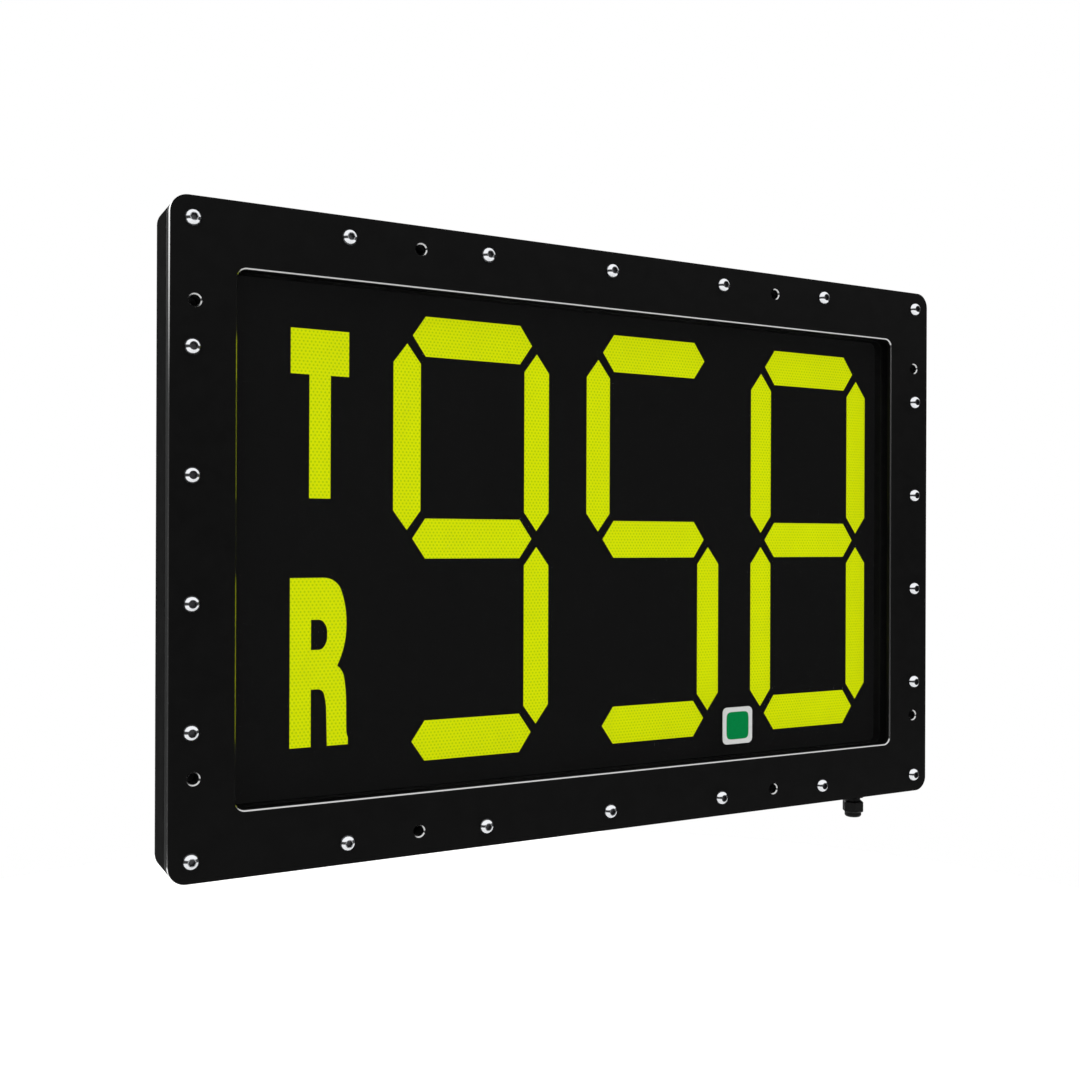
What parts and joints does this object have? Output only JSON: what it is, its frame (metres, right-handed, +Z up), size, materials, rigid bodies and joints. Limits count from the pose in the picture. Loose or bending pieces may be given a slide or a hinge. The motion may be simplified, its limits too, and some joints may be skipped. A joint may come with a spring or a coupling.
{
  "type": "vehicle call-sign display board",
  "caption": "Flat sealed display board with a screwed black bezel, a clear window, backlit yellow-green letters and seven-bar digits, and a cable gland underneath.",
  "frame": {"origin": "centre of the through-bolt pattern on the rear face", "axes": "+Z up, +X to the right of someone reading the board, the display faces -Y and +Y leaves the rear face"},
  "size_m": [0.6188, 0.0428, 0.4342],
  "materials": {
    "bezel_black": "black anodised, satin, with bare machined edges",
    "bright_steel": "bright stainless steel",
    "label": "white printed vinyl with a plain green field",
    "window_clear": "clear polycarbonate",
    "gasket_rubber": "black solid rubber",
    "frame_black": "black anodised, satin",
    "back_plate_black": "black anodised, satin, with bare machined edges",
    "black_steel": "black zinc plate",
    "plug_grey": "dark grey moulded plastic",
    "mask_black": "matt black",
    "reflective_lime": "yellow-green reflective sheet with a fine dot pattern",
    "opal_acrylic": "opal acrylic",
    "foam_tape": "grey acrylic foam",
    "thermal_pad": "grey-blue silicone",
    "socket_ivory": "ivory moulded plastic",
    "ribbon_white": "white laminated film",
    "ferrite": "dark grey ferrite",
    "capacitor_metal": "drawn aluminium can",
    "chip_black": "black moulded epoxy",
    "terminal_green": "green moulded plastic",
    "gland_nylon": "black nylon",
    "circuit_board": "white solder mask",
    "led_package": "white package with a pale yellow window"
  },
  "bodies": {
    "board": {"window_label": "label", "window_sheet": "window_clear", "window_gasket": "gasket_rubber", "housing_frame": "frame_black", "back_gasket": "gasket_rubber", "back_plate": "back_plate_black", "back_plate_screws": "black_steel", "mount_plugs": "plug_grey", "display_mask": "mask_black", "letter_t_lens": "reflective_lime", "letter_r_lens": "reflective_lime", "left_digit_lens": "reflective_lime", "middle_digit_lens": "reflective_lime", "right_digit_lens": "reflective_lime", "diffuser_panel": "opal_acrylic", "panel_tape": "foam_tape", "circuit_pads": "thermal_pad", "circuit_screws": "bright_steel", "link_sockets": "socket_ivory", "link_ribbons": "ribbon_white", "driver_inductor": "ferrite", "driver_capacitor": "capacitor_metal", "driver_chips": "chip_black", "power_terminal": "terminal_green", "gland_washer": "gasket_rubber", "gland_body": "gland_nylon", "letter_t_circuit": "circuit_board", "letter_t_leds": "led_package", "letter_r_circuit": "circuit_board", "letter_r_leds": "led_package", "left_digit_circuit": "circuit_board", "left_digit_leds": "led_package", "middle_digit_circuit": "circuit_board", "middle_digit_leds": "led_package", "right_digit_circuit": "circuit_board", "right_digit_leds": "led_package", "driver_circuit": "circuit_board"},
    "bezel": {"front_bezel": "bezel_black", "bezel_screws": "bright_steel"},
    "gland_insert": {"gland_claw": "gland_nylon", "gland_seal": "gasket_rubber"},
    "gland_nut": {"gland_dome_nut": "gland_nylon"}
  },
  "joints": [
    {"name": "bezel_lift_off", "type": "slide", "parent": "board", "child": "bezel", "axis": [0, -1, 0], "range_m": [0, 0.06]},
    {"name": "gland_insert_slide", "type": "slide", "parent": "board", "child": "gland_insert", "axis": [0, 0, -1], "range_m": [0, 0.0045]},
    {"name": "gland_nut_turn", "type": "hinge", "parent": "gland_insert", "child": "gland_nut", "pos_m": [0.2485, -0.019, -0.21875], "axis": [0, 0, -1], "range_deg": [0, 1080]}
  ],
  "couplings": [
    {"joint": "gland_nut_turn", "follows": "gland_insert_slide", "rad_per_m": 4188.8}
  ]
}
